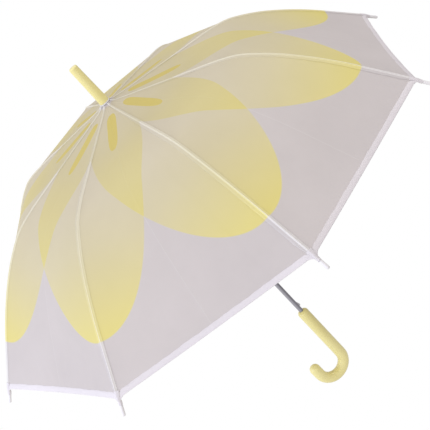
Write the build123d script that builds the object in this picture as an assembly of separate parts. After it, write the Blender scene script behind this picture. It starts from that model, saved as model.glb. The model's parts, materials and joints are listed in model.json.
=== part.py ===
from build123d import *
import os
from math import atan2, cos, degrees, hypot, radians, sin, tan

# A children's stick umbrella, open at rest. Millimetres and degrees.
# The origin is on the shaft's axis in the straight grip, and +Z points to the ferrule.
# Rib 1 lies over +X, and the hook of the handle opens towards +X.

# ---- driving dimensions ----
RIBS = 8
PITCH = 360.0 / RIBS                # from one rib to the next
HALF = PITCH / 2                    # from a rib to the middle of a panel
CHORD = cos(radians(HALF))          # a panel's mid line is nearer the shaft than its ribs by this ratio

CANOPY_TOP = 519.0                  # the ferrule ring's top face
PIVOT_RADIUS = 8.0                  # of both hinge wires, the crown's and the runner's
CROWN_PIVOT = 7.0                   # the crown's hinge wire, below the canopy's top
CORNER_RADIUS = 400.0               # from the shaft's axis to a corner of the canopy
FOLD = 76.0                         # how far a rib swings down when the umbrella closes

# the rib's centre line as (radius, slope below horizontal) at the end of each arc
INNER_SLOPE = 9.8
INNER_SPANS = [(170.0, 9.8), (217.0, 17.0)]
OUTER_SLOPE = 27.0
OUTER_SPANS = [(280.0, 39.0), (344.0, 47.0), (401.5, 47.0)]

RIB_WIDTH, RIB_HEIGHT = 3.2, 2.6
TONGUE_WIDTH = 2.0                  # the flattened end of a rib or stretcher in its slot
SLOT_WIDTH = 2.4
EYE_RADIUS, EYE_HOLE = 1.6, 0.7
WIRE_RADIUS = 0.6
HEEL_RADIUS = 1.65                  # round the flex line between a rib's two halves
LUG_THICKNESS, LUG_RADIUS, LUG_DROP = 1.6, 1.75, 3.6
LUG_AT = 208.0                      # radius at which the stretcher joins the rib
RIVET_RADIUS, RIVET_HOLE, RIVET_LENGTH = 0.8, 0.85, 4.2
FORK_GAP, FORK_DEPTH = 1.8, 4.2
STRETCHER_WIDTH, STRETCHER_HEIGHT = 3.4, 2.6
TIP_RADIUS, TIP_LENGTH, TIP_PEG, TIP_PEG_LENGTH = 2.3, 14.0, 1.0, 8.0

FILM = 0.4                          # thickness of the film's stand-in
FILM_LIFT = 2.1                     # from the rib's centre line to the film's middle
FILM_START, FILM_END = 13.0, 397.0  # radii of the film's first and last chord, measured over a rib
FILM_GAP = 0.3                      # between neighbouring film pieces

SHAFT_RADIUS, SHAFT_BORE = 3.6, 3.1
SHAFT_TOP, SHAFT_BOTTOM = 52.0, -25.0  # above the canopy's top, and below the origin
CROWN_RADIUS, CROWN_TOP, CROWN_BOTTOM = 10.0, 3.0, 12.5
HUB_RADIUS, HUB_BOTTOM = 5.4, 20.0
PIN_RADIUS = 0.8

FERRULE_BASE, FERRULE_TIP, FERRULE_LENGTH = 7.75, 6.8, 68.0
FERRULE_ROUNDING = 2.4
RING_RADIUS, RING_HEIGHT = 9.0, 2.0

RUNNER_SLIDE = 3.68                 # its bore, a running fit on the shaft
RUNNER_TOP, FLANGE_BOTTOM = 3.0, 5.5
SLEEVE_RADIUS, SLEEVE_LENGTH = 6.2, 64.0
COLLAR_RADIUS, COLLAR_LENGTH = 8.6, 14.0
WINDOW_DROP, WINDOW_WIDTH, WINDOW_LENGTH = 54.0, 3.0, 12.0
CATCH_THICKNESS, CATCH_LENGTH, CATCH_REACH = 1.6, 10.0, 5.8
CATCH_SHOULDER, CATCH_INSIDE, CATCH_FOOT_LENGTH = -2.6, -1.2, 22.0
CATCH_SLOT_WIDTH, CATCH_SLOT_LENGTH = 2.0, 13.0

GRIP_RADIUS, GRIP_TOP = 9.4, 38.0
HOOK_RADIUS, HOOK_CENTRE, HOOK_END = 25.4, -72.0, -59.0
GRIP_ROUNDING = 5.8


# ---- the rib's centre line, in a plane through the shaft: radius, height, slope ----
def walk(radius, height, slope, spans):
    """The line as arcs: one (start, middle, end) triple of knots for each span."""
    arcs = []
    for end_radius, end_slope in spans:
        a, b = radians(slope), radians(end_slope)
        m = (a + b) / 2
        if abs(b - a) < 1e-9:
            mid_radius = (radius + end_radius) / 2
            middle = (mid_radius, height - (mid_radius - radius) * tan(a), slope)
            end = (end_radius, height - (end_radius - radius) * tan(a), end_slope)
        else:
            bend = (end_radius - radius) / (sin(b) - sin(a))
            middle = (radius + bend * (sin(m) - sin(a)), height - bend * (cos(a) - cos(m)), degrees(m))
            end = (end_radius, height - bend * (cos(a) - cos(b)), end_slope)
        arcs.append(((radius, height, slope), middle, end))
        radius, height, slope = end
    return arcs


PIVOT_HEIGHT = CANOPY_TOP - CROWN_PIVOT
INNER_LINE = walk(PIVOT_RADIUS, PIVOT_HEIGHT, INNER_SLOPE, INNER_SPANS)
FLEX_RADIUS, FLEX_HEIGHT, _ = INNER_LINE[-1][2]
OUTER_LINE = walk(FLEX_RADIUS, FLEX_HEIGHT, OUTER_SLOPE, OUTER_SPANS)


def at_radius(line, radius):
    """The knot of the line at a radius: the span's own arc is followed there."""
    for start, _, end in line:
        if start[0] - 1e-9 <= radius <= end[0] + 1e-9:
            a, b = radians(start[2]), radians(end[2])
            if abs(b - a) < 1e-9:
                return (radius, start[1] - (radius - start[0]) * tan(a), start[2])
            bend = (end[0] - start[0]) / (sin(b) - sin(a))
            sine = sin(a) + (radius - start[0]) / bend
            slope = atan2(sine, (1 - sine * sine) ** 0.5)
            return (radius, start[1] - bend * (cos(a) - cos(slope)), degrees(slope))
    raise ValueError(f"no rib at radius {radius}")


def cut_line(line, first, last):
    """The part of the line between two radii."""
    arcs = []
    for start, _, end in line:
        low, high = max(start[0], first), min(end[0], last)
        if high - low > 1e-6:
            arcs.append(tuple(at_radius(line, r) for r in (low, (low + high) / 2, high)))
    return arcs


def lifted(knot, lift, shrink=1.0):
    """A knot moved off the centre line, as a point of the XZ plane."""
    radius, height, slope = knot
    a = radians(slope)
    return ((radius + lift * sin(a)) * shrink, 0, height + lift * cos(a))


def band(line, low, high, width, shrink=1.0):
    """A strip between two lifts of the line, as wide as stated across the plane."""
    edges, ends = [], []
    for lift in (low, high):
        for start, middle, end in line:
            points = [lifted(knot, lift, shrink) for knot in (start, middle, end)]
            if abs(start[2] - end[2]) < 1e-9:
                edges.append(Line(points[0], points[2]))
            else:
                edges.append(ThreePointArc(*points))
        ends.append((lifted(line[0][0], lift, shrink), lifted(line[-1][2], lift, shrink)))
    edges.append(Line(ends[0][0], ends[1][0]))
    edges.append(Line(ends[0][1], ends[1][1]))
    face = make_face(edges)
    return extrude(face, width / 2, dir=(0, 1, 0), both=True)


# ---- the linkage: crown pivot, lug and runner pivot make an isosceles triangle ----
LUG_KNOT = at_radius(INNER_LINE, LUG_AT)
LUG_X, _, LUG_Z = lifted(LUG_KNOT, -LUG_DROP)
ARM = hypot(LUG_X - PIVOT_RADIUS, PIVOT_HEIGHT - LUG_Z)
ARM_SLOPE = degrees(atan2(PIVOT_HEIGHT - LUG_Z, LUG_X - PIVOT_RADIUS))
RUNNER_OPEN = PIVOT_HEIGHT - 2 * ARM * sin(radians(ARM_SLOPE))
RUNNER_CLOSED = PIVOT_HEIGHT - 2 * ARM * sin(radians(ARM_SLOPE + FOLD))


def across(radius, length, x, z):
    """A cylinder that lies across the rib's plane."""
    return Pos(x, 0, z) * Rot(90, 0, 0) * Cylinder(radius, length)


def round_bar(radius, length, z):
    """An upright cylinder that starts at a height."""
    return Pos(0, 0, z) * Cylinder(radius, length, align=(Align.CENTER, Align.CENTER, Align.MIN))


def block(low, high):
    """A box between two corners."""
    size = [b - a for a, b in zip(low, high)]
    middle = [(a + b) / 2 for a, b in zip(low, high)]
    return Pos(*middle) * Box(*size)


def around(shape, angle):
    return Rot(0, 0, angle) * shape


# ---- ribs ----
def inner_rib():
    """From the eye on the crown's wire to the flex line, with the stretcher's lug and its rivet."""
    tongue_end, wide_start = 20.0, 14.0
    half = RIB_HEIGHT / 2
    tongue = band(cut_line(INNER_LINE, PIVOT_RADIUS, tongue_end), -half, half, TONGUE_WIDTH)
    wide = band(cut_line(INNER_LINE, wide_start, FLEX_RADIUS), -half, half, RIB_WIDTH)
    eye = across(EYE_RADIUS, TONGUE_WIDTH, PIVOT_RADIUS, PIVOT_HEIGHT)
    lug = across(LUG_RADIUS, LUG_THICKNESS, LUG_X, LUG_Z)
    neck_x, _, neck_z = lifted(LUG_KNOT, -LUG_DROP / 2)
    neck = Pos(neck_x, 0, neck_z) * Rot(0, LUG_KNOT[2], 0) * Box(2 * LUG_RADIUS, LUG_THICKNESS, LUG_DROP)
    rib = tongue + wide + eye + lug + neck
    rib -= across(EYE_HOLE, 2 * RIB_WIDTH, PIVOT_RADIUS, PIVOT_HEIGHT)
    rib -= across(RIVET_RADIUS, 2 * RIB_WIDTH, LUG_X, LUG_Z)
    rib -= across(HEEL_RADIUS, 2 * RIB_WIDTH, FLEX_RADIUS, FLEX_HEIGHT)
    rivet = across(RIVET_RADIUS, RIVET_LENGTH, LUG_X, LUG_Z)
    return Compound(children=[rib, rivet])


def outer_rib():
    """From the flex line to the peg that the tip is pushed on."""
    half = RIB_HEIGHT / 2
    bar = band(OUTER_LINE, -half, half, RIB_WIDTH)
    heel = across(half, RIB_WIDTH, FLEX_RADIUS, FLEX_HEIGHT)
    return bar + heel + along_tip(Cylinder(TIP_PEG, TIP_PEG_LENGTH, align=UP))


UP = (Align.CENTER, Align.CENTER, Align.MIN)


def along_tip(shape):
    """Places a shape made along +Z at the rib's end, pointing outward along it."""
    x, _, z = lifted(OUTER_LINE[-1][2], 0)
    return Pos(x, 0, z) * Rot(0, 90 + OUTER_LINE[-1][2][2], 0) * shape


def rib_tip():
    """The small cap on a rib's end: a rod with a round nose and a blind socket."""
    straight = TIP_LENGTH - TIP_RADIUS
    rod = Cylinder(TIP_RADIUS, straight, align=UP) + Pos(0, 0, straight) * Sphere(TIP_RADIUS)
    rod = chamfer(rod.edges().sort_by(Axis.Z)[0], 0.4)
    rod -= Cylinder(TIP_PEG, TIP_PEG_LENGTH, align=UP)
    return along_tip(rod)


# ---- stretchers ----
def stretcher():
    """A bar from the rib's lug, which it straddles, to an eye on the runner's wire."""
    tongue_end, bar_end = 12.0, 7.0
    bar = block((bar_end, -STRETCHER_WIDTH / 2, -STRETCHER_HEIGHT / 2),
                (ARM, STRETCHER_WIDTH / 2, STRETCHER_HEIGHT / 2))
    tongue = block((0, -TONGUE_WIDTH / 2, -STRETCHER_HEIGHT / 2),
                   (tongue_end, TONGUE_WIDTH / 2, STRETCHER_HEIGHT / 2))
    shape = bar + tongue + across(EYE_RADIUS, TONGUE_WIDTH, 0, 0)
    shape += across(LUG_RADIUS, STRETCHER_WIDTH, ARM, 0)
    shape -= across(EYE_HOLE, 2 * STRETCHER_WIDTH, 0, 0)
    shape -= block((ARM - FORK_DEPTH, -FORK_GAP / 2, -STRETCHER_HEIGHT),
                   (ARM + FORK_DEPTH, FORK_GAP / 2, STRETCHER_HEIGHT))
    shape -= across(RIVET_HOLE, 2 * STRETCHER_WIDTH, ARM, 0)
    return Pos(PIVOT_RADIUS, 0, RUNNER_OPEN) * Rot(0, -ARM_SLOPE, 0) * shape


# ---- canopy ----
def panel(line, first, last):
    """Film between two ribs and two chords, over +X before it is turned into place."""
    strip = cut_line(line, first, last)
    film = band(strip, FILM_LIFT - FILM / 2, FILM_LIFT + FILM / 2, 2 * CORNER_RADIUS, CHORD)
    apex = FILM_GAP / 2 / sin(radians(HALF))
    reach = 2 * CORNER_RADIUS
    side = reach * tan(radians(HALF))
    wedge = make_face(Polyline((apex, 0), (apex + reach, side), (apex + reach, -side), close=True))
    return film & extrude(wedge, CANOPY_TOP)


# ---- crown, runner and their wires ----
def notched(shape, middle, wire_z):
    """Cuts the slots for eight eyes, and the ring tunnel for the wire they turn on."""
    low, high = middle
    for i in range(RIBS):
        slot = block((HUB_RADIUS, -SLOT_WIDTH / 2, low), (2 * CROWN_RADIUS, SLOT_WIDTH / 2, high))
        shape -= around(slot, i * PITCH)
    return shape - hinge_wire(wire_z)


def hinge_wire(z):
    return Pos(0, 0, z) * Torus(PIVOT_RADIUS, WIRE_RADIUS)


def crown():
    """The top notch, pinned to the shaft under the ferrule ring."""
    height = CROWN_BOTTOM - CROWN_TOP
    disc = round_bar(CROWN_RADIUS, height, CANOPY_TOP - CROWN_BOTTOM)
    disc = chamfer(disc.edges().group_by(Axis.Z)[-1], 0.8)
    hub = round_bar(HUB_RADIUS, HUB_BOTTOM - RING_HEIGHT, CANOPY_TOP - HUB_BOTTOM)
    shape = notched(disc + hub, (CANOPY_TOP - CROWN_BOTTOM - 1, CANOPY_TOP - CROWN_TOP + 1), PIVOT_HEIGHT)
    shape -= round_bar(SHAFT_RADIUS, 2 * HUB_BOTTOM, CANOPY_TOP - HUB_BOTTOM - 1)
    return shape - crown_pin()


def cross_pin(half_length, z):
    """A pin through the shaft, turned half a pitch so that it passes between the ribs."""
    return Pos(0, 0, z) * Rot(0, 0, HALF) * Rot(0, 90, 0) * Cylinder(PIN_RADIUS, 2 * half_length)


def crown_pin():
    return cross_pin(HUB_RADIUS, CANOPY_TOP - (CROWN_BOTTOM + HUB_BOTTOM) / 2)


def stop_pin():
    """Stops the runner's flange where the umbrella is fully open."""
    return cross_pin(SHAFT_RADIUS + 1.6, RUNNER_OPEN + RUNNER_TOP + PIN_RADIUS + 0.2)


def runner():
    """The sleeve that slides on the shaft: notched flange, sleeve, grip collar and catch window."""
    flange = round_bar(CROWN_RADIUS, RUNNER_TOP + FLANGE_BOTTOM, RUNNER_OPEN - FLANGE_BOTTOM)
    flange = chamfer(flange.edges().group_by(Axis.Z)[0], 1.5)
    flange = notched(flange, (RUNNER_OPEN - WIRE_RADIUS - 1.6, RUNNER_OPEN + RUNNER_TOP + 1), RUNNER_OPEN)
    sleeve = round_bar(SLEEVE_RADIUS, SLEEVE_LENGTH - FLANGE_BOTTOM, RUNNER_OPEN - SLEEVE_LENGTH)
    window_z = RUNNER_OPEN - WINDOW_DROP
    collar_z = window_z + WINDOW_LENGTH / 2 + 3
    collar = round_bar(COLLAR_RADIUS, COLLAR_LENGTH, collar_z)
    collar = fillet(collar.edges(), 1.8)
    foot = round_bar(SLEEVE_RADIUS + 1.2, 3.0, RUNNER_OPEN - SLEEVE_LENGTH)
    foot = fillet(foot.edges(), 1.0)
    shape = flange + sleeve + collar + foot
    shape -= round_bar(RUNNER_SLIDE, 2 * SLEEVE_LENGTH, RUNNER_OPEN - SLEEVE_LENGTH - 1)
    return shape - block((-2 * CROWN_RADIUS, -WINDOW_WIDTH / 2, window_z - WINDOW_LENGTH / 2),
                         (0, WINDOW_WIDTH / 2, window_z + WINDOW_LENGTH / 2))


def catch(runner_z, ledge):
    """A sprung wedge through the shaft's wall. Its ledge is at the top (1) or the bottom (-1)."""
    z, half = runner_z - WINDOW_DROP, ledge * CATCH_LENGTH / 2
    outline = [
        (CATCH_SHOULDER, z + half), (-SHAFT_RADIUS, z + half), (-CATCH_REACH, z + 0.9 * half),
        (-CATCH_REACH, z + 0.4 * half), (-SHAFT_RADIUS, z - half), (CATCH_SHOULDER, z - half),
    ]
    wedge = make_face(Polyline([(x, 0, height) for x, height in outline], close=True))
    plate = extrude(wedge, CATCH_THICKNESS / 2, dir=(0, 1, 0), both=True)
    foot = block((CATCH_SHOULDER, -CATCH_THICKNESS / 2, z - CATCH_FOOT_LENGTH / 2),
                 (CATCH_INSIDE, CATCH_THICKNESS / 2, z + CATCH_FOOT_LENGTH / 2))
    return plate + foot


# ---- shaft, ferrule and handle ----
def shaft_tube():
    length = CANOPY_TOP + SHAFT_TOP - SHAFT_BOTTOM
    tube = round_bar(SHAFT_RADIUS, length, SHAFT_BOTTOM) - round_bar(SHAFT_BORE, length, SHAFT_BOTTOM)
    for runner_z in (RUNNER_OPEN, RUNNER_CLOSED):
        z = runner_z - WINDOW_DROP
        tube -= block((-2 * SHAFT_RADIUS, -CATCH_SLOT_WIDTH / 2, z - CATCH_SLOT_LENGTH / 2),
                      (0, CATCH_SLOT_WIDTH / 2, z + CATCH_SLOT_LENGTH / 2))
    return tube - crown_pin() - stop_pin()


def ferrule():
    """The spike over the canopy: a slightly tapered plug with rounded edges."""
    body = Pos(0, 0, CANOPY_TOP) * Cone(FERRULE_BASE, FERRULE_TIP, FERRULE_LENGTH, align=UP)
    body = fillet(body.edges().group_by(Axis.Z)[-1], FERRULE_ROUNDING)
    body = fillet(body.edges().group_by(Axis.Z)[0], 0.6)
    return body - round_bar(SHAFT_RADIUS, SHAFT_TOP, CANOPY_TOP)


def ferrule_ring():
    """The thin washer that clamps the film's centre between the ferrule and the crown."""
    ring = round_bar(RING_RADIUS, RING_HEIGHT, CANOPY_TOP - RING_HEIGHT)
    ring = fillet(ring.edges(), 0.6)
    return ring - round_bar(SHAFT_RADIUS, 2 * RING_HEIGHT, CANOPY_TOP - 1.5 * RING_HEIGHT)


def handle():
    """The straight grip and the hook: a round bar with a domed top and a round end."""
    grip = round_bar(GRIP_RADIUS, GRIP_TOP - HOOK_CENTRE, HOOK_CENTRE)
    grip = fillet(grip.edges().sort_by(Axis.Z)[-1], GRIP_ROUNDING)
    section = Pos(0, 0, HOOK_CENTRE) * Circle(GRIP_RADIUS)
    bend_axis = Axis((HOOK_RADIUS, 0, HOOK_CENTRE), (0, -1, 0))
    hook = revolve(section, bend_axis, 180)
    end = Pos(2 * HOOK_RADIUS, 0, 0) * round_bar(GRIP_RADIUS, HOOK_END - HOOK_CENTRE, HOOK_CENTRE)
    nose = Pos(2 * HOOK_RADIUS, 0, HOOK_END) * Sphere(GRIP_RADIUS)
    shape = grip + hook + end + nose
    return shape - round_bar(SHAFT_RADIUS, GRIP_TOP - SHAFT_BOTTOM, SHAFT_BOTTOM)


# ---- the assembly ----
parts = {
    "shaft_tube": shaft_tube(),
    "ferrule": ferrule(),
    "ferrule_ring": ferrule_ring(),
    "crown": crown(),
    "crown_wire": hinge_wire(PIVOT_HEIGHT),
    "crown_pin": crown_pin(),
    "stop_pin": stop_pin(),
    "handle": handle(),
    "runner": runner(),
    "runner_wire": hinge_wire(RUNNER_OPEN),
    "top_catch": catch(RUNNER_OPEN, ledge=1),
    "bottom_catch": catch(RUNNER_CLOSED, ledge=-1),
}
on_each_rib = {"inner_rib": inner_rib(), "outer_rib": outer_rib(), "rib_tip": rib_tip(), "stretcher": stretcher()}
on_each_panel = {
    "panel_inner": panel(INNER_LINE, FILM_START, FLEX_RADIUS - FILM_GAP / 2),
    "panel_outer": panel(OUTER_LINE, FLEX_RADIUS + FILM_GAP / 2, FILM_END),
}
for i in range(RIBS):
    for name, shape in on_each_rib.items():
        parts[f"{name}_{i + 1}"] = around(shape, i * PITCH)
    for name, shape in on_each_panel.items():
        parts[f"{name}_{i + 1}"] = around(shape, i * PITCH + HALF)

os.makedirs("parts", exist_ok=True)
for name, shape in parts.items():
    export_step(shape, f"parts/{name}.step")
print("arm", round(ARM, 3), "arm slope", round(ARM_SLOPE, 3), "flex", FLEX_RADIUS, round(FLEX_HEIGHT, 3))
print("runner open", round(RUNNER_OPEN, 3), "closed", round(RUNNER_CLOSED, 3))
print("lug", round(LUG_X, 4), round(LUG_Z, 4), "pivot height", PIVOT_HEIGHT, "parts", len(parts))
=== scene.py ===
"""Looks for the children's umbrella: milky film with a printed flower, painted ribs, chrome shaft.

Metres, Z up, in the CAD frame: the shaft stands on the origin and rib 1 lies over +X.
The CAD nodes, the yellow handle and ferrule among them, keep their shape and get better materials.
The film is made here: eight panels of two pieces each, every piece attached to its panel's body,
with a hem, welded seams over the ribs, and a pocket on each rib's end.
"""
import json
from math import atan2, cos, exp, hypot, pi, radians, sin, sqrt, tan

import bpy
import numpy as np
from mathutils import Matrix, Vector


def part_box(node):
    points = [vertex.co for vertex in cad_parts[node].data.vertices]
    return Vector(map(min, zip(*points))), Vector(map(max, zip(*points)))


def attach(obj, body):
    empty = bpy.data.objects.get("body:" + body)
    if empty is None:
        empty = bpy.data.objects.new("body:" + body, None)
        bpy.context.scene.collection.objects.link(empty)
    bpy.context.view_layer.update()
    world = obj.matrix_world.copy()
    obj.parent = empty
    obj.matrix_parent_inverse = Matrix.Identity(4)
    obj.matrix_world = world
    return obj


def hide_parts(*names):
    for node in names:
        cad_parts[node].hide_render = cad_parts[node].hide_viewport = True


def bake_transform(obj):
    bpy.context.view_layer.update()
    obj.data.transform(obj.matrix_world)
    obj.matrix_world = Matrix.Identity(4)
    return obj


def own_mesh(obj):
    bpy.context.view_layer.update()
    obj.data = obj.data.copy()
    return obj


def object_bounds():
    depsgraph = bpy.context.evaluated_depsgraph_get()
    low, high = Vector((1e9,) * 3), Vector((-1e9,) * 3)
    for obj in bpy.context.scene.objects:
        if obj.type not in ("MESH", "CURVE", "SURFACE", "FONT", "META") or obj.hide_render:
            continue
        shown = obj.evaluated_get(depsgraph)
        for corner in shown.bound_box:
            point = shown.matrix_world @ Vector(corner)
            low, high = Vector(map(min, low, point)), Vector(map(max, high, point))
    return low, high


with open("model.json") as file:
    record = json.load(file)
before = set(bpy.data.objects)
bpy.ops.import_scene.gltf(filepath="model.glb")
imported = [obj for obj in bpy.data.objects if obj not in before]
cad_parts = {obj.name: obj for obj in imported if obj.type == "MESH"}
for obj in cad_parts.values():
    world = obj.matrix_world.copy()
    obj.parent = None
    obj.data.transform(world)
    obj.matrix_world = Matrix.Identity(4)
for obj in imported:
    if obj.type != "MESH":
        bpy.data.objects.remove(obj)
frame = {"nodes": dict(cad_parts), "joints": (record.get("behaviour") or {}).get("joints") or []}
cad_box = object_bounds()
joints = {joint["name"]: joint for joint in frame["joints"]}

# ---- sizes of the frame that the film is made to, in metres and degrees ----
RIBS = 8
PITCH = 360 / RIBS
HALF = radians(PITCH / 2)
CROWN_PIVOT = joints["canopy_fold"]["pos_m"]    # the rib's hinge on the crown
FLEX_PIVOT = joints["rib_flex_1"]["pos_m"]      # the hinge between a rib's two halves
FLEX = FLEX_PIVOT[0]
CORNER = 0.400                                  # radius at which the film's corner ends
RING_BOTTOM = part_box("ferrule_ring")[0].z

# The line that the film follows, as (radius, slope below horizontal) at the end of each arc. It is the rib's
# own line, but it turns smoothly where the rib has its flex joint.
FIRST_SLOPE = 9.8
SPANS = [(0.170, 9.8), (0.206, 15.3), (0.228, 28.9), (0.280, 39.0), (0.344, 47.0), (0.4015, 47.0)]
LIFT = 0.0021                                   # from the rib's centre line to the film
TINY = 1e-9                                     # slopes and radii closer than this count as equal
LINE_END = CORNER + 0.001                       # the line is known a little past the corner
LINE_SAMPLES = 1600

FILM_START = 0.0088                             # under the ferrule's ring
COLLAR_RISE, COLLAR_FLAT, COLLAR_FADE = 0.00275, 0.0100, 0.0039  # how the film climbs to the ring
HEM_MIDDLE = 0.3955                             # radius of the hem between two ribs
NECK_FROM = 0.93                                # share of half a panel where the hem turns out to the corner
INNER_SAG, OUTER_SAG = 0.0015, 0.0050           # how far the film hangs in between two ribs
CREASE, CREASE_REACH = 0.0001, 0.0030           # the fold mark down a panel's middle
HEM_LAP = 0.0040                                # how far the single film stops short of the hem's edge
FLANGE_STEPS = 3                                # steps of a seam's section that lie on its flat side

# ---- how the film's pieces are divided into faces, and their small shapes ----
WAVE_SPREAD = (0.8, 1.25)                       # how unevenly long the waves of a ripple are
PANEL_COLUMNS, PANEL_CROWDING = 45, 1.35        # columns crowd towards the fold mark in a panel's middle
PANEL_ROWS = {"inner": 66, "outer": 60}
GATHER_HEIGHT, WAVE_HEIGHT = 0.00035, 0.0007    # of the gathers near the crown and the waves near the hem

HEM_STEPS = 121
HEM_OUT = 0.0003                                # the hem's edge lies this far outside the hem's radius
HEM_WOBBLE = 0.06
# The hem's section, from its top edge round to its bottom one, as (distance in from the edge, height).
HEM_SECTION = [(0.0057, 0.0001), (0.0053, 0.0003), (0.0030, 0.00035), (0.0008, 0.0004), (0.0002, 0.00025),
               (0.0, 0.0), (0.0002, -0.00025), (0.0008, -0.0004), (0.0030, -0.00035), (0.0053, -0.0003),
               (0.0057, -0.0001)]

SEAM_START, SEAM_END = 0.0092, 0.398
SEAM_RIDGE, SEAM_FLANGE, SEAM_WOBBLE = 0.0019, 0.0042, 0.07  # half the ridge's width, the allowance's width
SEAM_FOOT, SEAM_TOP = 0.00005, 0.0003           # heights of a seam's edges and of its flat part
RIDGE_STEPS = 13

POCKET_START, POCKET_END, POCKET_LIMIT = 0.389, 0.4013, 0.4012
POCKET_FLARE, POCKET_HALF = 0.0022, 0.0026      # extra half width at its inner end, half width at its tip
POCKET_STATIONS, POCKET_TURNS = 22, 24

CAP_RADII = [0.0042, 0.0070, 0.0092, 0.0100, 0.0106, 0.0112, 0.0118]
CAP_TURNS = 144
CUT_SAMPLES = 200


# ---- the film's surface ----
def walk(radius, height, slope, spans):
    """The line as arcs: start and end of each as (radius, height, slope in radians)."""
    arcs = []
    a = radians(slope)
    for end_radius, end_slope in spans:
        b = radians(end_slope)
        if abs(b - a) < TINY:
            end_height = height - (end_radius - radius) * tan(a)
        else:
            bend = (end_radius - radius) / (sin(b) - sin(a))
            end_height = height - bend * (cos(a) - cos(b))
        arcs.append(((radius, height, a), (end_radius, end_height, b)))
        radius, height, a = end_radius, end_height, b
    return arcs


LINE = walk(CROWN_PIVOT[0], CROWN_PIVOT[2], FIRST_SLOPE, SPANS)


def knot(radius):
    """Height and slope of the line at a radius."""
    for start, end in LINE:
        if radius <= end[0] + TINY:
            break
    a, b = start[2], end[2]
    if abs(b - a) < TINY:
        return start[1] - (radius - start[0]) * tan(a), a
    bend = (end[0] - start[0]) / (sin(b) - sin(a))
    sine = min(1.0, sin(a) + (radius - start[0]) / bend)
    slope = atan2(sine, sqrt(1 - sine * sine))
    return start[1] - bend * (cos(a) - cos(slope)), slope


def collar(radius):
    """How much higher the film is next to the ring, where it is drawn up under it."""
    return COLLAR_RISE * exp(-max(0.0, radius - COLLAR_FLAT) / COLLAR_FADE)


def film_line(radius):
    """Film over a rib: distance from the shaft's axis, height, slope."""
    height, slope = knot(radius)
    return radius + LIFT * sin(slope), height + LIFT * cos(slope) + collar(radius), slope


STEPS = np.linspace(0, LINE_END, LINE_SAMPLES)
HEIGHTS = np.array([film_line(r)[1] for r in STEPS])
LENGTHS = np.concatenate([[0], np.cumsum(np.hypot(np.diff(STEPS), np.diff(HEIGHTS)))])


def along(radius):
    """Length of film from the shaft's axis out to a radius, measured over a rib."""
    return float(np.interp(radius, STEPS, LENGTHS))


def film_point(radius, offset, proud=0.0):
    """A point of a panel that lies over +X: offset is measured along the chord from the middle line."""
    x, z, slope = film_line(radius)
    steep = atan2(tan(slope), cos(HALF))
    return Vector((x * cos(HALF) + proud * sin(steep), offset, z + proud * cos(steep)))


def half_chord(radius):
    return film_line(radius)[0] * sin(HALF)


def rib_coordinates(radius, from_rib):
    """A film point in the print's own measure: distance from a rib's line and length along it.

    Both are in corner radii.
    """
    lean = cos(film_line(radius)[2]) * sin(HALF)
    return from_rib * sqrt(1 - lean * lean) / CORNER, (along(radius) - from_rib * lean) / CORNER


def print_coordinates(radius, offset):
    """Where a film point is on the print of the rib at +Y, of the rib at -Y, and of the panel's middle."""
    half = half_chord(radius)
    return {
        "petal_a": rib_coordinates(radius, half - offset),
        "petal_b": rib_coordinates(radius, half + offset),
        "stamen": (offset / CORNER, radius / CORNER),
    }


def turned(point, degrees_round):
    return Matrix.Rotation(radians(degrees_round), 3, "Z") @ point


def smooth(x):
    x = min(1.0, max(0.0, x))
    return x * x * (3 - 2 * x)


class Ripples:
    """Small uneven waves along one direction, the same each run."""

    def __init__(self, seed, waves):
        random = np.random.default_rng(seed)
        self.terms = [(wave * random.uniform(*WAVE_SPREAD), random.uniform(0, 2 * pi)) for wave in waves]

    def __call__(self, x):
        return sum(sin(2 * pi * wave * x + phase) for wave, phase in self.terms) / len(self.terms)


# ---- mesh building ----
def mesh_object(name, points, faces, prints, material):
    """A mesh from points and faces, with the print's coordinates as UV maps."""
    mesh = bpy.data.meshes.new(name)
    mesh.from_pydata([tuple(p) for p in points], [], faces)
    for layer_name in ("petal_a", "petal_b", "stamen"):
        layer = mesh.uv_layers.new(name=layer_name)
        corners = np.array([prints[loop.vertex_index][layer_name] for loop in mesh.loops], np.float32)
        layer.data.foreach_set("uv", corners.ravel())
    mesh.polygons.foreach_set("use_smooth", [True] * len(mesh.polygons))
    mesh.materials.append(material)
    mesh.update()
    piece = bpy.data.objects.new(name, mesh)
    bpy.context.collection.objects.link(piece)
    return piece


def grid_faces(rows, columns, closed=False):
    """Quads between rows of points. Closed joins each row's last point to its first."""
    faces = []
    across = columns if closed else columns - 1
    for row in range(rows - 1):
        for column in range(across):
            a = row * columns + column
            b = row * columns + (column + 1) % columns
            faces.append((a, b, b + columns, a + columns))
    return faces


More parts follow.
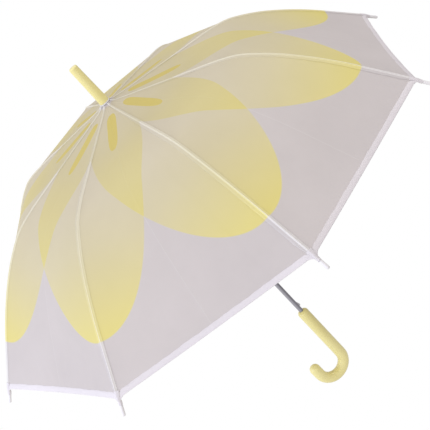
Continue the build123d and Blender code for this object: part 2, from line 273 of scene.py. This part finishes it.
# ---- materials ----
class Nodes:
    """Adds nodes to a material and links them, so that a material reads as a short recipe."""

    def __init__(self, name):
        self.material = bpy.data.materials.new(name)
        self.material.use_nodes = True
        self.tree = self.material.node_tree
        self.tree.nodes.clear()

    def add(self, kind, inputs=None, **settings):
        node = self.tree.nodes.new(kind)
        for key, value in settings.items():
            setattr(node, key, value)
        for socket, value in (inputs or {}).items():
            if isinstance(value, bpy.types.NodeSocket):
                self.tree.links.new(value, node.inputs[socket])
            else:
                node.inputs[socket].default_value = value
        return node

    def math(self, operation, a, b=0.0):
        return self.add("ShaderNodeMath", {0: a, 1: b}, operation=operation).outputs[0]

    def map(self, value, low, high, to_low=0.0, to_high=1.0, kind="SMOOTHSTEP"):
        inputs = {"Value": value, "From Min": low, "From Max": high, "To Min": to_low, "To Max": to_high}
        return self.add("ShaderNodeMapRange", inputs, interpolation_type=kind).outputs["Result"]

    def mix(self, amount, a, b):
        node = self.add("ShaderNodeMix", {0: amount, 6: a, 7: b}, data_type="RGBA")
        return node.outputs[2]

    def ramp(self, value, stops):
        node = self.add("ShaderNodeValToRGB", {"Fac": value})
        elements = node.color_ramp.elements
        while len(elements) < len(stops):
            elements.new(0.5)
        for element, (place, level) in zip(elements, stops):
            element.position = place
            element.color = (level, level, level, 1)
        return node.outputs["Color"]

    def noise(self, scale, detail=2.0, vector=None, roughness=0.5):
        inputs = {"Scale": scale, "Detail": detail, "Roughness": roughness}
        if vector is not None:
            inputs["Vector"] = vector
        return self.add("ShaderNodeTexNoise", inputs).outputs["Fac"]

    def place(self, stretch=(1, 1, 1)):
        """The object's own coordinates in metres, scaled."""
        own = self.add("ShaderNodeTexCoord").outputs["Object"]
        return self.add("ShaderNodeMapping", {"Vector": own, "Scale": stretch}).outputs["Vector"]

    def bump(self, height, distance, strength=1.0, normal=None):
        inputs = {"Height": height, "Distance": distance, "Strength": strength}
        if normal is not None:
            inputs["Normal"] = normal
        return self.add("ShaderNodeBump", inputs).outputs["Normal"]

    def finish(self, shader):
        out = self.add("ShaderNodeOutputMaterial")
        self.tree.links.new(shader.outputs[0], out.inputs["Surface"])
        return self.material


# the print, in corner radii
PETAL_MIDDLE, PETAL_ALONG, PETAL_ACROSS = 0.498, 0.470, 0.257
STAMEN_MIDDLE, STAMEN_IN, STAMEN_OUT, STAMEN_ACROSS = 0.180, 0.083, 0.145, 0.0210
STAMEN_SKEW = 0.10                              # each stamen is printed a little askew to its panel
STAMEN_POWERS = 4.0, 2.4                        # how square a stamen is, along and across
STAMEN_EDGE = 0.06
PRINT_EDGE = 0.006
OVERLAP_EXTRA = 0.10                            # yellow that two petals add where they lie over each other
# How much yellow a petal has along its rib, as (length in corner radii, strength).
PETAL_STRENGTH = [(0.0, 0.09), (0.18, 0.14), (0.35, 0.24), (0.50, 0.27), (0.66, 0.36), (0.79, 0.50),
                  (0.95, 0.68)]

FILM_COLOUR = (0.650, 0.612, 0.612, 1)
FLANGE_COLOUR = (0.65, 0.62, 0.615, 1)
SEAM_COLOUR = (0.76, 0.74, 0.72, 1)
HEM_COLOUR = (0.78, 0.75, 0.77, 1)
INNER_PETAL, OUTER_PETAL = (0.50, 0.44, 0.09, 1), (0.87, 0.79, 0.17, 1)
STAMEN_COLOUR = (0.66, 0.55, 0.12, 1)
DEEP_YELLOW = (0.80, 0.68, 0.08, 1)             # light that comes through the print
# The light colour mixed in along each panel's middle fold is a painted highlight for light catching the
# fold. It lies on top of the fold's real bump.
CREASE_HIGHLIGHT_COLOUR, CREASE_HIGHLIGHT_MIX, CREASE_LINE = (0.90, 0.90, 0.90, 1), 0.16, 0.0022
STAMEN_ON_TOP, STAMEN_THROUGH = 0.80, 0.85      # how far a stamen hides the print's yellow


def print_amounts(nodes):
    """Amounts of yellow and of stamen, and distances from the panel's middle and from the shaft."""
    petals, strengths = [], []
    for layer in ("petal_a", "petal_b"):
        uv = nodes.add("ShaderNodeUVMap", uv_map=layer).outputs["UV"]
        split = nodes.add("ShaderNodeSeparateXYZ", {0: uv})
        across, along_rib = split.outputs[0], split.outputs[1]
        u = nodes.math("DIVIDE", across, PETAL_ACROSS)
        v = nodes.math("DIVIDE", nodes.math("SUBTRACT", along_rib, PETAL_MIDDLE), PETAL_ALONG)
        squares = nodes.math("ADD", nodes.math("MULTIPLY", u, u), nodes.math("MULTIPLY", v, v))
        far = nodes.math("SQRT", squares)
        inside = nodes.map(far, 1 + PRINT_EDGE, 1 - PRINT_EDGE)
        petals.append(inside)
        strengths.append(nodes.math("MULTIPLY", inside, nodes.ramp(along_rib, PETAL_STRENGTH)))
    clear = [nodes.math("SUBTRACT", 1.0, strength) for strength in strengths]
    both = nodes.math("SUBTRACT", 1.0, nodes.math("MULTIPLY", clear[0], clear[1]))
    overlap = nodes.math("MULTIPLY", petals[0], petals[1])
    yellow = nodes.math("ADD", both, nodes.math("MULTIPLY", overlap, OVERLAP_EXTRA))
    uv = nodes.add("ShaderNodeUVMap", uv_map="stamen").outputs["UV"]
    split = nodes.add("ShaderNodeSeparateXYZ", {0: uv})
    out = nodes.math("SUBTRACT", split.outputs[1], STAMEN_MIDDLE)
    reach = nodes.map(out, -1e-5, 1e-5, STAMEN_IN, STAMEN_OUT, "LINEAR")
    aside = nodes.math("ADD", split.outputs[0], nodes.math("MULTIPLY", out, STAMEN_SKEW))
    u = nodes.math("ABSOLUTE", nodes.math("DIVIDE", out, reach))
    v = nodes.math("ABSOLUTE", nodes.math("DIVIDE", aside, STAMEN_ACROSS))
    u = nodes.math("POWER", u, STAMEN_POWERS[0])
    v = nodes.math("POWER", v, STAMEN_POWERS[1])
    stamen = nodes.map(nodes.math("ADD", u, v), 1 + STAMEN_EDGE, 1 - STAMEN_EDGE)
    return yellow, stamen, split.outputs[0], split.outputs[1]


def film_material(name, base, thickness, see_through):
    """Milky soft plastic film: it scatters light from both sides and lets a little straight through."""
    nodes = Nodes(name)
    yellow, stamen, from_middle, from_shaft = print_amounts(nodes)
    ink = nodes.mix(nodes.map(from_shaft, 0.30, 0.85, kind="LINEAR"), INNER_PETAL, OUTER_PETAL)
    clouds = nodes.noise(9.0, 4.0, nodes.place(), 0.6)
    blotch = nodes.map(clouds, 0.3, 0.7, 0.965, 1.03, "LINEAR")
    tint = nodes.add("ShaderNodeCombineXYZ", {0: blotch, 1: blotch, 2: blotch}).outputs[0]
    clouded = nodes.add("ShaderNodeMix", {0: 1.0, 6: base, 7: tint}, data_type="RGBA", blend_type="MULTIPLY")
    # The crease mask gives the fold its bump and also places the painted highlight line along it.
    crease = nodes.map(nodes.math("ABSOLUTE", from_middle), 0.0, CREASE_LINE, 1.0, 0.0)
    milk_and_crease_highlight = nodes.mix(nodes.math("MULTIPLY", crease, CREASE_HIGHLIGHT_MIX), clouded.outputs[2], CREASE_HIGHLIGHT_COLOUR)
    printed = nodes.mix(nodes.mix(yellow, (0, 0, 0, 1), (1, 1, 1, 1)), milk_and_crease_highlight, ink)
    surface = nodes.mix(nodes.math("MULTIPLY", stamen, STAMEN_ON_TOP), printed, STAMEN_COLOUR)
    deep_yellow = nodes.map(yellow, 0.0, 0.7, 0.0, 0.95, "LINEAR")
    deep = nodes.mix(deep_yellow, milk_and_crease_highlight, DEEP_YELLOW)
    inside = nodes.mix(nodes.math("MULTIPLY", stamen, STAMEN_THROUGH), deep, STAMEN_COLOUR)
    grain = nodes.noise(900.0, 3.0, nodes.place())
    waves = nodes.noise(28.0, 3.0, nodes.place())
    fold = nodes.bump(crease, CREASE)
    relief = nodes.bump(grain, 0.00004, 0.5, nodes.bump(waves, 0.0008, 0.35, fold))
    skin = nodes.add("ShaderNodeBsdfPrincipled", {
        "Base Color": surface, "Roughness": nodes.map(waves, 0.3, 0.7, 0.42, 0.55, "LINEAR"),
        "Specular IOR Level": 0.38, "Normal": relief,
    })
    through = nodes.add("ShaderNodeBsdfTranslucent", {"Color": inside, "Normal": relief})
    body = nodes.add("ShaderNodeMixShader", {0: thickness, 1: through.outputs[0], 2: skin.outputs[0]})
    clear = nodes.add("ShaderNodeBsdfTransparent", {"Color": (1, 1, 1, 1)})
    film = nodes.add("ShaderNodeMixShader", {0: see_through, 1: body.outputs[0], 2: clear.outputs[0]})
    return nodes.finish(film)


def yellow_plastic():
    """Glossy moulded plastic: faint flow marks, a fine parting line and worn, duller patches."""
    nodes = Nodes("umbrella_yellow_plastic")
    own = nodes.place()
    flow = nodes.noise(35.0, 1.0, nodes.place((1, 1, 0.35)), 0.6)
    speck = nodes.noise(110.0, 0.0, own)
    colour = nodes.mix(nodes.map(flow, 0.3, 0.7), (0.790, 0.715, 0.300, 1), (0.815, 0.745, 0.335, 1))
    colour = nodes.mix(nodes.map(speck, 0.66, 0.74, 0.0, 0.10), colour, (0.70, 0.62, 0.22, 1))
    side = nodes.add("ShaderNodeSeparateXYZ", {0: own}).outputs[1]
    parting = nodes.map(nodes.math("ABSOLUTE", side), 0.0, 0.00022, 0.35, 0.0)
    colour = nodes.mix(parting, colour, (0.62, 0.54, 0.20, 1))
    return nodes.finish(nodes.add("ShaderNodeBsdfPrincipled", {
        "Base Color": colour, "Roughness": nodes.map(flow, 0.3, 0.75, 0.24, 0.38, "LINEAR"),
        "Coat Weight": 0.25, "Coat Roughness": 0.15,
    }))


def metal(name, colour, rough_low, rough_high, stretch, scale):
    """Bare metal with drawn streaks along the long side of the stretch."""
    nodes = Nodes(name)
    streaks = nodes.noise(scale, 4.0, nodes.place(stretch), 0.65)
    cloud = nodes.noise(60.0, 3.0, nodes.place())
    darker = tuple(0.86 * level for level in colour) + (1,)
    tone = nodes.mix(nodes.map(streaks, 0.35, 0.65), darker, colour + (1,))
    tone = nodes.mix(nodes.map(cloud, 0.55, 0.75, 0.0, 0.3), tone, darker)
    rough = nodes.map(streaks, 0.3, 0.7, rough_low, rough_high, "LINEAR")
    return nodes.finish(nodes.add("ShaderNodeBsdfPrincipled", {
        "Base Color": tone, "Metallic": 1.0, "Roughness": rough, "Normal": nodes.bump(streaks, 0.00002, 0.6),
    }))


def painted_steel():
    """White powder paint on the ribs, with a fine orange-peel skin and small rubbed spots."""
    nodes = Nodes("umbrella_painted_rib")
    peel = nodes.noise(700.0, 2.0, nodes.place())
    rubbed = nodes.map(nodes.noise(140.0, 5.0, nodes.place(), 0.7), 0.66, 0.74)
    colour = nodes.mix(rubbed, (0.80, 0.80, 0.78, 1), (0.52, 0.52, 0.52, 1))
    return nodes.finish(nodes.add("ShaderNodeBsdfPrincipled", {
        "Base Color": colour, "Roughness": nodes.map(peel, 0.3, 0.7, 0.28, 0.42, "LINEAR"),
        "Coat Weight": 0.25, "Coat Roughness": 0.2, "Normal": nodes.bump(peel, 0.00004, 0.6),
    }))


def moulded(name, light, dark, rough):
    """Plain injection-moulded plastic: slight mottling and a fine eroded texture."""
    nodes = Nodes(name)
    mottle = nodes.noise(90.0, 4.0, nodes.place(), 0.6)
    grain = nodes.noise(1500.0, 2.0, nodes.place())
    return nodes.finish(nodes.add("ShaderNodeBsdfPrincipled", {
        "Base Color": nodes.mix(nodes.map(mottle, 0.35, 0.65), dark + (1,), light + (1,)),
        "Roughness": nodes.map(mottle, 0.3, 0.7, rough - 0.06, rough + 0.06, "LINEAR"),
        "Normal": nodes.bump(grain, 0.00003, 0.5),
    }))


FILM = film_material("umbrella_film", FILM_COLOUR, 0.58, 0.01)
FLANGE_FILM = film_material("umbrella_film_flange", FLANGE_COLOUR, 0.78, 0.01)
SEAM_FILM = film_material("umbrella_film_seam", SEAM_COLOUR, 0.88, 0.01)
HEM_FILM = film_material("umbrella_film_hem", HEM_COLOUR, 0.82, 0.01)

LOOKS = {
    "ferrule": yellow_plastic(),
    # The shaft's chrome is darker than bare chrome: painted shade that stands in for the darker surroundings
    # it would reflect.
    "shaft_tube": metal("umbrella_chrome_painted_shade", (0.38, 0.38, 0.42), 0.10, 0.20, (900, 900, 12), 1.0),
    "rib": painted_steel(),
    "rib_tip": moulded("umbrella_tip_plastic", (0.78, 0.77, 0.78), (0.72, 0.71, 0.72), 0.36),
    "crown": moulded("umbrella_white_plastic", (0.80, 0.80, 0.77), (0.73, 0.73, 0.70), 0.40),
    "ferrule_ring": moulded("umbrella_grey_plastic", (0.74, 0.73, 0.72), (0.66, 0.65, 0.64), 0.45),
    "wire": metal("umbrella_wire", (0.56, 0.56, 0.57), 0.28, 0.42, (300, 300, 300), 1.0),
    "catch": metal("umbrella_catch_steel", (0.60, 0.60, 0.62), 0.22, 0.36, (900, 900, 40), 1.0),
}
LOOK_OF = {
    "ferrule": "ferrule", "handle": "ferrule", "shaft_tube": "shaft_tube",
    "inner_rib": "rib", "outer_rib": "rib", "stretcher": "rib", "rib_tip": "rib_tip",
    "crown": "crown", "runner": "crown", "ferrule_ring": "ferrule_ring",
    "crown_wire": "wire", "runner_wire": "wire", "crown_pin": "wire", "stop_pin": "wire",
    "top_catch": "catch", "bottom_catch": "catch",
}


def dress_cad_nodes():
    """Gives every CAD node that shows its own procedural material."""
    for name, node in frame["nodes"].items():
        kind = name.rstrip("0123456789").rstrip("_")
        if kind in LOOK_OF:
            node.data.materials.clear()
            node.data.materials.append(LOOKS[LOOK_OF[kind]])


# ---- film panels ----
def hem_radius(share):
    """Radius of the hem at a share of half the panel's width, from 0 in the middle to 1 at the rib."""
    turn = max(0.0, (abs(share) - NECK_FROM) / (1 - NECK_FROM))
    return HEM_MIDDLE + (CORNER - HEM_MIDDLE) * turn * turn


def spread(count, power):
    """Places from -1 to 1 that crowd together in the middle."""
    even = np.linspace(-1, 1, count)
    return np.sign(even) * np.abs(even) ** power


class Relief:
    """How far a panel's film stands off the flat surface between its ribs."""

    def __init__(self, number):
        self.near_crown = Ripples(100 + number, (1.5, 2.6, 4.1))
        self.outer = Ripples(200 + number, (1.2, 2.3))
        self.rows = Ripples(300 + number, (7.0, 11.0))

    def __call__(self, radius, share):
        taut = 1 - share * share
        from_crease = abs(share) * half_chord(radius)
        height = CREASE * exp(-from_crease / CREASE_REACH) * smooth((radius - 0.03) / 0.05)
        gather = GATHER_HEIGHT * exp(-max(0.0, radius - 0.014) / 0.045) * smooth((radius - 0.010) / 0.006)
        height += gather * self.near_crown(share) * taut
        if radius < FLEX:
            return height - INNER_SAG * sin(pi * radius / FLEX) ** 2 * taut
        out = (radius - FLEX) / (CORNER - FLEX)
        waves = WAVE_HEIGHT * self.outer(share) * self.rows(out * 0.35) * taut * smooth(2 * out) * abs(share)
        return height - OUTER_SAG * smooth(out) * taut + waves


def film_panel(number, part, relief):
    """One panel's inner part, from the ring to the flex line, or its outer part, from there to the hem."""
    shares = spread(PANEL_COLUMNS, PANEL_CROWDING)
    points, prints = [], []
    start = FILM_START if part == "inner" else FLEX
    shares_out = np.linspace(0, 1, PANEL_ROWS[part])
    for out in shares_out:
        for share in shares:
            end = FLEX if part == "inner" else hem_radius(share) - HEM_LAP
            radius = start + (end - start) * float(out)
            offset = share * half_chord(radius)
            point = film_point(radius, offset, relief(radius, share))
            points.append(turned(point, (number - 0.5) * PITCH))
            prints.append(print_coordinates(radius, offset))
    faces = grid_faces(len(shares_out), len(shares))
    faces = [face[::-1] for face in faces]
    return mesh_object(f"film_{part}_{number}", points, faces, prints, FILM)


def hem(number, relief):
    """The folded and welded edge of a panel: a flat double band with a rounded edge."""
    shares = np.linspace(-1, 1, HEM_STEPS)
    ripple = Ripples(400 + number, (5.0, 9.0, 16.0))
    points, prints = [], []
    for share in shares:
        edge = hem_radius(share) + HEM_OUT
        for inward, proud in HEM_SECTION:
            radius = edge - inward * (1 + HEM_WOBBLE * ripple(0.5 * share))
            offset = share * half_chord(radius)
            lift = relief(min(radius, hem_radius(share)), share) + proud
            points.append(turned(film_point(radius, offset, lift), (number - 0.5) * PITCH))
            prints.append(print_coordinates(radius, offset))
    faces = grid_faces(len(shares), len(HEM_SECTION))
    return mesh_object(f"hem_{number}", points, faces, prints, HEM_FILM)


def rib_point(radius, across, proud):
    """A point of the film near the rib over +X: across is the distance from the rib's line."""
    side = 1 if across >= 0 else -1
    _, _, slope = film_line(radius)
    lean = cos(slope) * sin(HALF)
    from_rib = abs(across) / sqrt(1 - lean * lean)
    chord = min(radius + from_rib * lean * cos(slope), LINE_END)
    offset = side * (from_rib - half_chord(chord))
    point = turned(film_point(chord, offset, proud), side * PITCH / 2)
    return point, print_coordinates(chord, offset)


def seam(number):
    """The weld over a rib: a ridge where the film lies on the rib, and its allowance folded to one side."""
    radii = np.concatenate([np.linspace(SEAM_START, 0.030, 12), np.linspace(0.034, SEAM_END, 110)])
    ripple = Ripples(500 + number, (9.0, 17.0))
    points, prints = [], []
    for radius in radii:
        narrow = min(1.0, 0.012 + (radius - SEAM_START) / 0.150)
        neck = min(1.0, 0.16 + (0.3985 - radius) / 0.022)
        flange = -SEAM_FLANGE * min(narrow, neck) * (1 + SEAM_WOBBLE * ripple(radius / CORNER))
        half = SEAM_RIDGE * min(1.0, 0.50 + (radius - SEAM_START) / 0.30)
        high = 0.0004 + 0.0005 * smooth((radius - 0.05) / 0.15)
        edge = flange - half
        section = [(edge, SEAM_FOOT), (edge + 0.0002, SEAM_TOP), (edge * 0.6 - 0.4 * half, 0.00035)]
        for step in np.linspace(-1, 1, RIDGE_STEPS):
            section.append((step * half, SEAM_TOP + high * cos(step * pi / 2) ** 2))
        section.append((half + 0.0009, SEAM_TOP))
        section.append((half + 0.0011, SEAM_FOOT))
        for across, proud in section:
            point, coordinates = rib_point(float(radius), across, proud)
            points.append(turned(point, (number - 1) * PITCH))
            prints.append(coordinates)
    faces = grid_faces(len(radii), len(section))
    faces = [face[::-1] for face in faces]
    weld = mesh_object(f"seam_{number}", points, faces, prints, SEAM_FILM)
    weld.data.materials.append(FLANGE_FILM)
    columns = len(section) - 1
    for face in weld.data.polygons:
        face.material_index = 1 if face.index % columns < FLANGE_STEPS else 0
    return weld


def corner_pocket(number):
    """The pocket at a panel's corner that holds the rib's end: flat on the film, round at the tip."""
    stations = np.linspace(0, 1, POCKET_STATIONS)
    points, prints = [], []
    for out in stations:
        radius = POCKET_START + (POCKET_END - POCKET_START) * out
        half = POCKET_FLARE * (1 - out) ** 1.6 + POCKET_HALF
        round_end = smooth((out - 0.35) / 0.5)
        for step in range(POCKET_TURNS):
            angle = 2 * pi * step / POCKET_TURNS
            across = half * cos(angle)
            base, coordinates = rib_point(radius, across * (1 - 0.1 * round_end), 0.0)
            height, slope = knot(min(radius, POCKET_LIMIT))
            sheet = 0.0009 + 0.0007 * cos(min(1.0, abs(across) / 0.003) * pi / 2)
            outward = Vector((sin(slope), 0, cos(slope)))
            flat = base + outward * (sheet if sin(angle) > 0 else -0.0004)
            ring = Vector((radius, across, height)) + outward * half * sin(angle)
            points.append(turned(flat.lerp(ring, round_end), (number - 1) * PITCH))
            prints.append(coordinates)
    faces = grid_faces(len(stations), POCKET_TURNS, closed=True)
    return mesh_object(f"corner_{number}", points, faces, prints, HEM_FILM)


def film_cap():
    """The film's centre, pleated and clamped under the ring. It shows when the umbrella is closed."""
    pleats = Ripples(7, (8.0, 16.0, 24.0))
    points, prints = [], []
    for radius in CAP_RADII:
        drop = 0.0030 * max(0.0, (radius - 0.0098) / 0.002) ** 1.5
        for step in range(CAP_TURNS):
            angle = 2 * pi * step / CAP_TURNS
            fold = 0.00012 * pleats(step / CAP_TURNS) * smooth((radius - 0.008) / 0.003)
            height = RING_BOTTOM - 0.0005 - drop + fold
            points.append(Vector((radius * cos(angle), radius * sin(angle), height)))
            prints.append(print_coordinates(radius, 0.3 * half_chord(radius)))
    faces = grid_faces(len(CAP_RADII), CAP_TURNS, closed=True)
    return mesh_object("film_cap", points, faces, prints, FILM)


def cut_size(start, end):
    """Width, length and area of the flat piece of film between two radii, before it is welded in."""
    radii = np.linspace(start, end, CUT_SAMPLES)
    spots = [film_line(radius) for radius in radii]
    middle = [(x * cos(HALF), z) for x, z, _ in spots]
    steps = [hypot(b[0] - a[0], b[1] - a[1]) for a, b in zip(middle, middle[1:])]
    widths = [2 * x * sin(HALF) for x, _, _ in spots]
    area = sum(step * (a + b) / 2 for step, a, b in zip(steps, widths, widths[1:]))
    return max(widths), sum(steps), area


def make_canopy():
    for number in range(1, RIBS + 1):
        relief = Relief(number)
        pieces = {
            "inner": [film_panel(number, "inner", relief)],
            "outer": [film_panel(number, "outer", relief), hem(number, relief)],
        }
        for part, made in pieces.items():
            for piece in made:
                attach(piece, f"panel_{part}_{number}")
                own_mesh(piece)
            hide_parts(f"panel_{part}_{number}")
        weld = seam(number)
        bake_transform(weld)
        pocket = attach(corner_pocket(number), f"outer_rib_{number}")
        width, length, area = cut_size(FILM_START, FLEX)
        width, length, area = cut_size(FLEX, HEM_MIDDLE)
    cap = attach(film_cap(), "root")


# ---- stage, light and camera ----
WHITE = (1, 1, 1, 1)
FLOOR_BRIGHT, FLOOR_DIM, FLOOR_REACH = (1.10, 1.07, 1.07, 1), (0.39, 0.37, 0.37, 1), 0.5
BRIGHT_SIDE, DIM_SIDE = (1.37, 1.32, 1.34, 1), (0.43, 0.41, 0.42, 1)
LIGHT_FROM = (0.925, 0.163, 0.342)
KEY_COLOUR, KEY_POWER, KEY_DISTANCE, KEY_SIZE = (0.44, 0.62, 1.0), 14, 2.4, 1.2
BACK_FROM, BACK_COLOUR, BACK_POWER = (-0.75, 0.13, 0.64), (1.0, 0.98, 0.96), 14
LIGHT_AIM = (0, 0, 0.35)
ROOM_FADE = 0.8                                 # where the room's walls stop getting brighter or darker
FLOOR_BELOW, FLOOR_RIM, FLOOR_SIDES = 0.001, 12.0, 64

CAMERA_RIGHT, CAMERA_UP = (-0.6821, 0.3772, -0.6265), (-0.7197, -0.1942, 0.6666)
CAMERA_PLACE, CAMERA_LENS, CAMERA_SENSOR = (0.1948, 1.3896, 0.8886), 83.1, 36


def floor_material():
    """A white that looks pure white and throws its light unevenly: more from the side of the key light."""
    nodes = Nodes("white_floor")
    side = nodes.add("ShaderNodeSeparateXYZ", {0: nodes.place()}).outputs[0]
    cast = nodes.mix(nodes.map(side, -FLOOR_REACH, FLOOR_REACH), FLOOR_DIM, FLOOR_BRIGHT)
    direct = nodes.add("ShaderNodeLightPath").outputs["Is Camera Ray"]
    colour = nodes.mix(direct, cast, WHITE)
    nodes.material.cycles.emission_sampling = "NONE"
    return nodes.finish(nodes.add("ShaderNodeEmission", {"Color": colour, "Strength": 1.0}))


def make_stage():
    """A plain white floor just under the handle, wide enough to fill every view."""
    lowest = cad_box[0].z - FLOOR_BELOW
    mesh = bpy.data.meshes.new("floor")
    angles = [2 * pi * side / FLOOR_SIDES for side in range(FLOOR_SIDES)]
    ring = [(FLOOR_RIM * cos(angle), FLOOR_RIM * sin(angle), lowest) for angle in angles]
    mesh.from_pydata(ring, [], [tuple(range(FLOOR_SIDES))])
    mesh.materials.append(floor_material())
    floor = bpy.data.objects.new("floor", mesh)
    bpy.context.collection.objects.link(floor)


def area_light(name, direction, distance, size, colour, power):
    light = bpy.data.lights.new(name, "AREA")
    light.shape = "DISK"
    light.size = size
    light.color = colour
    light.energy = power
    holder = bpy.data.objects.new(name, light)
    towards = Vector(direction).normalized()
    holder.location = Vector(LIGHT_AIM) + towards * distance
    holder.rotation_euler = towards.to_track_quat("Z", "Y").to_euler()
    bpy.context.collection.objects.link(holder)


def make_light():
    """A white room that is brighter on the key light's side, and the key itself."""
    world = bpy.data.worlds.new("white_room")
    world.use_nodes = True
    tree = world.node_tree
    add = tree.nodes.new
    direction = add("ShaderNodeTexCoord")
    towards_key = add("ShaderNodeVectorMath")
    towards_key.operation = "DOT_PRODUCT"
    towards_key.inputs[1].default_value = LIGHT_FROM
    tree.links.new(direction.outputs["Generated"], towards_key.inputs[0])
    share = add("ShaderNodeMapRange")
    share.inputs["From Min"].default_value = -ROOM_FADE
    share.inputs["From Max"].default_value = ROOM_FADE
    tree.links.new(towards_key.outputs["Value"], share.inputs["Value"])
    room, seen = add("ShaderNodeMix"), add("ShaderNodeMix")
    for mix, low, high in ((room, DIM_SIDE, BRIGHT_SIDE), (seen, WHITE, WHITE)):
        mix.data_type = "RGBA"
        mix.inputs[6].default_value = low
        mix.inputs[7].default_value = high
    tree.links.new(share.outputs["Result"], room.inputs[0])
    tree.links.new(room.outputs[2], seen.inputs[6])
    tree.links.new(add("ShaderNodeLightPath").outputs["Is Camera Ray"], seen.inputs[0])
    tree.links.new(seen.outputs[2], tree.nodes["Background"].inputs["Color"])
    bpy.context.scene.world = world
    area_light("key", LIGHT_FROM, KEY_DISTANCE, KEY_SIZE, KEY_COLOUR, KEY_POWER)
    area_light("back", BACK_FROM, KEY_DISTANCE, KEY_SIZE, BACK_COLOUR, BACK_POWER)


def make_camera():
    """The photograph's view: from above and behind, rolled so that the shaft runs down to the right."""
    right = Vector(CAMERA_RIGHT)
    up = Vector(CAMERA_UP)
    back = right.cross(up).normalized()
    up = back.cross(right).normalized()
    camera_data = bpy.data.cameras.new("camera")
    camera_data.lens = CAMERA_LENS
    camera_data.sensor_width = CAMERA_SENSOR
    camera = bpy.data.objects.new("camera", camera_data)
    turn = Matrix((right.normalized(), up, back)).transposed().to_4x4()
    camera.matrix_world = Matrix.Translation(CAMERA_PLACE) @ turn
    bpy.context.collection.objects.link(camera)
    bpy.context.scene.camera = camera


make_stage()
make_light()
make_camera()
dress_cad_nodes()
make_canopy()
scene = bpy.context.scene
scene.view_settings.view_transform = "Standard"
